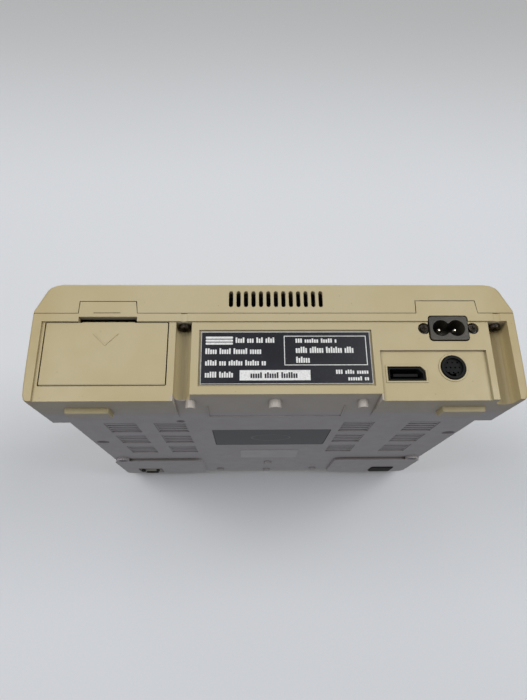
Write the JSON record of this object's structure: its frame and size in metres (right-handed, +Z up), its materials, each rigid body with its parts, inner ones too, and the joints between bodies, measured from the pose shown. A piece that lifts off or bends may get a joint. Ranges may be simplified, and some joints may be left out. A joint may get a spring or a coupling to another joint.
{
  "type": "disc game console",
  "caption": "Low square-sided disc game console with a domed lid, cartridge slot, rear battery door, mains inlet and sockets, in yellowed beige plastic.",
  "frame": {"origin": "centre of the footprint, on the surface the feet stand on", "axes": "+Z up, +Y towards the rear connector face, +X to the right seen from the front"},
  "size_m": [0.26, 0.23, 0.083],
  "materials": {
    "case_plastic": "fine moulded texture, yellowed beige",
    "grey_plastic": "fine moulded texture",
    "black_plastic": "satin",
    "label_film": "satin printed film",
    "rubber": "matte",
    "steel": "plated",
    "aluminium": "extruded",
    "brass": "nickel-brass pins",
    "circuit_board": "solder mask",
    "lens": "coated",
    "lamp": "tinted, translucent",
    "ribbon": "flat flexible cable"
  },
  "bodies": {
    "console": {"ac_inlet": "black_plastic", "av_socket": "black_plastic", "base_label": "label_film", "battery_holder": "black_plastic", "cartridge_connector": "black_plastic", "coin_cell": "steel", "comm_socket": "black_plastic", "controller_port_left": "black_plastic", "controller_port_right": "black_plastic", "damper_front": "rubber", "damper_rear_left": "rubber", "damper_rear_right": "rubber", "disc_well": "grey_plastic", "drive_chassis": "steel", "drive_ribbon": "ribbon", "expansion_bay": "steel", "expansion_connector": "black_plastic", "filter_capacitor": "black_plastic", "foot_pad_left": "rubber", "foot_pad_right": "rubber", "front_case_screw_left": "steel", "front_case_screw_right": "steel", "gear_shaft": "steel", "guide_rail_left": "steel", "guide_rail_right": "steel", "heat_sink": "aluminium", "inlet_pin_left": "brass", "inlet_pin_right": "brass", "inlet_screw_left": "steel", "inlet_screw_right": "steel", "lid_hinge_pin_left": "steel", "lid_hinge_pin_right": "steel", "lower_case": "case_plastic", "lower_shield": "steel", "main_board": "circuit_board", "main_processor": "black_plastic", "power_board": "circuit_board", "power_lamp": "lamp", "rating_label": "label_film", "rear_case_screw_left": "steel", "rear_case_screw_right": "steel", "second_processor": "black_plastic", "sled_motor": "steel", "spindle_motor": "steel", "transformer": "steel", "upper_case": "case_plastic", "upper_shield": "steel", "video_chip": "black_plastic"},
    "disc_lid": {"cd_lid": "case_plastic"},
    "rear_door": {"expansion_cover": "case_plastic"},
    "open_key": {"open_button": "grey_plastic"},
    "power_key": {"power_button": "grey_plastic"},
    "reset_key": {"reset_button": "grey_plastic"},
    "latch_bar": {"lid_latch": "grey_plastic"},
    "flap_front": {"cartridge_flap_front": "grey_plastic"},
    "flap_rear": {"cartridge_flap_rear": "grey_plastic"},
    "spindle": {"turntable": "grey_plastic"},
    "sled": {"laser_sled": "black_plastic", "laser_lens": "lens"},
    "pinion": {"sled_gear": "grey_plastic"}
  },
  "joints": [
    {"name": "lid_hinge", "type": "hinge", "parent": "console", "child": "disc_lid", "pos_m": [0, 0.063, 0.0745], "axis": [-1, 0, 0], "range_deg": [0, 65]},
    {"name": "rear_door_hinge", "type": "hinge", "parent": "console", "child": "rear_door", "pos_m": [0.0901, 0.1129, 0.0125], "axis": [-1, 0, 0], "range_deg": [0, 90]},
    {"name": "open_press", "type": "slide", "parent": "console", "child": "open_key", "axis": [0, 0, -1], "range_m": [0, 0.0022], "stiffness_N_per_m": 500},
    {"name": "power_press", "type": "slide", "parent": "console", "child": "power_key", "axis": [0, 0, -1], "range_m": [0, 0.002], "stiffness_N_per_m": 500},
    {"name": "reset_press", "type": "slide", "parent": "console", "child": "reset_key", "axis": [0, 0, -1], "range_m": [0, 0.0015], "stiffness_N_per_m": 400},
    {"name": "latch_slide", "type": "slide", "parent": "console", "child": "latch_bar", "axis": [1, 0, 0], "range_m": [0, 0.003]},
    {"name": "front_flap_hinge", "type": "hinge", "parent": "console", "child": "flap_front", "pos_m": [0, 0.0741, 0.075], "axis": [-1, 0, 0], "range_deg": [0, 80], "stiffness_Nm_per_rad": 0.01, "springref_deg": -20.05},
    {"name": "rear_flap_hinge", "type": "hinge", "parent": "console", "child": "flap_rear", "pos_m": [0, 0.0899, 0.075], "axis": [1, 0, 0], "range_deg": [0, 80], "stiffness_Nm_per_rad": 0.01, "springref_deg": -20.05},
    {"name": "spindle_spin", "type": "hinge", "parent": "console", "child": "spindle", "pos_m": [0, -0.01, 0.0645], "axis": [0, 0, 1], "continuous": true},
    {"name": "sled_travel", "type": "slide", "parent": "console", "child": "sled", "axis": [0, -1, 0], "range_m": [0, 0.034]},
    {"name": "pinion_spin", "type": "hinge", "parent": "console", "child": "pinion", "pos_m": [0.036, -0.046, 0.0523], "axis": [0, 0, 1], "range_deg": [0, 280]}
  ],
  "couplings": [
    {"joint": "latch_slide", "follows": "open_press", "ratio": 1.2},
    {"joint": "pinion_spin", "follows": "sled_travel", "rad_per_m": 142.86}
  ]
}
